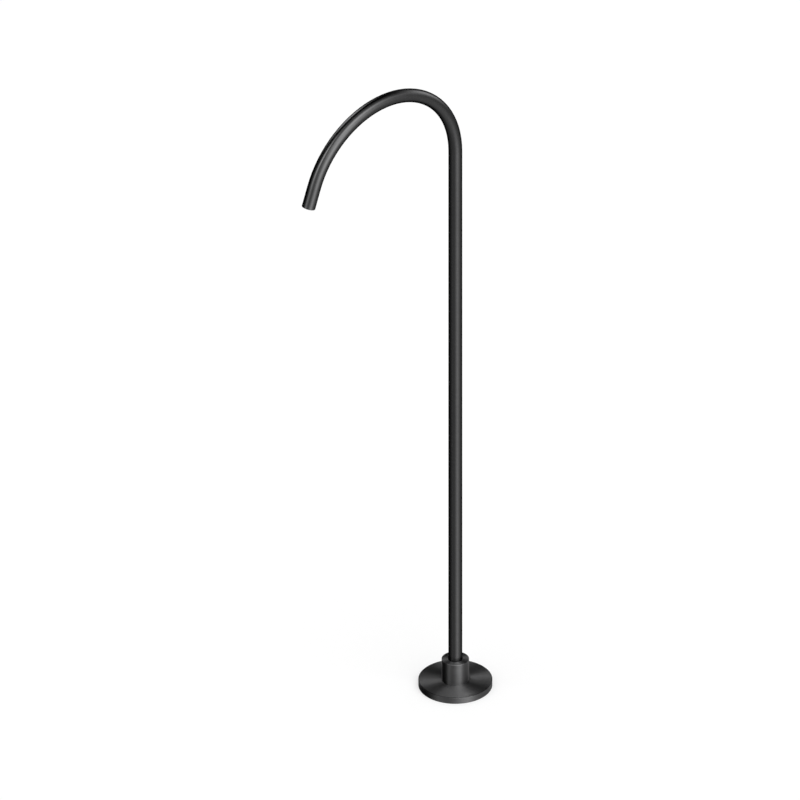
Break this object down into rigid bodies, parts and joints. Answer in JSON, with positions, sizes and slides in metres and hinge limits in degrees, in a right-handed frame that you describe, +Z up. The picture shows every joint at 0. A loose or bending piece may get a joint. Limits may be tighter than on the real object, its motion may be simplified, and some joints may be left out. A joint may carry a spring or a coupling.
{
  "type": "floor-standing basin spout",
  "caption": "Tall gooseneck basin spout that stands on the floor on a round flange, its tube turning in a collar at the base.",
  "frame": {"origin": "centre of the base, on the floor", "axes": "+Z up along the riser, -Y from the riser towards the outlet, +X completes a right-handed frame"},
  "size_m": [0.117, 0.3774, 1.1519],
  "materials": {
    "gunmetal": "brushed gunmetal coating on metal, satin",
    "turned_brass": "turned, bare",
    "stainless_plate": "rolled stainless sheet",
    "black_screw": "black oxide",
    "epdm_rubber": "moulded rubber",
    "slip_polymer": "moulded acetal",
    "aerator_polymer": "moulded plastic"
  },
  "bodies": {
    "base": {"foot_gasket": "epdm_rubber", "mounting_plate": "stainless_plate", "plate_screws": "black_screw", "swivel_pillar": "turned_brass", "floor_flange": "gunmetal", "flange_o_ring": "epdm_rubber", "rim_seal": "epdm_rubber", "base_collar": "gunmetal", "collar_grub_screw": "black_screw", "collar_wiper_ring": "epdm_rubber", "spigot_lock_screw": "black_screw", "thrust_washer": "slip_polymer"},
    "spout": {"spout_tube": "gunmetal", "swivel_spigot": "turned_brass", "lower_slip_ring": "slip_polymer", "upper_slip_ring": "slip_polymer", "lower_o_ring": "epdm_rubber", "upper_o_ring": "epdm_rubber", "outlet_nozzle": "gunmetal", "aerator_housing": "aerator_polymer", "flow_straightener": "aerator_polymer", "jet_plate": "aerator_polymer", "flow_regulator": "slip_polymer", "regulator_o_ring": "epdm_rubber", "aerator_screen": "slip_polymer", "aerator_washer": "epdm_rubber"}
  },
  "joints": [
    {"name": "spout_swivel", "type": "hinge", "parent": "base", "child": "spout", "pos_m": [0, 0, 0.03], "axis": [0, 0, 1], "continuous": true}
  ]
}
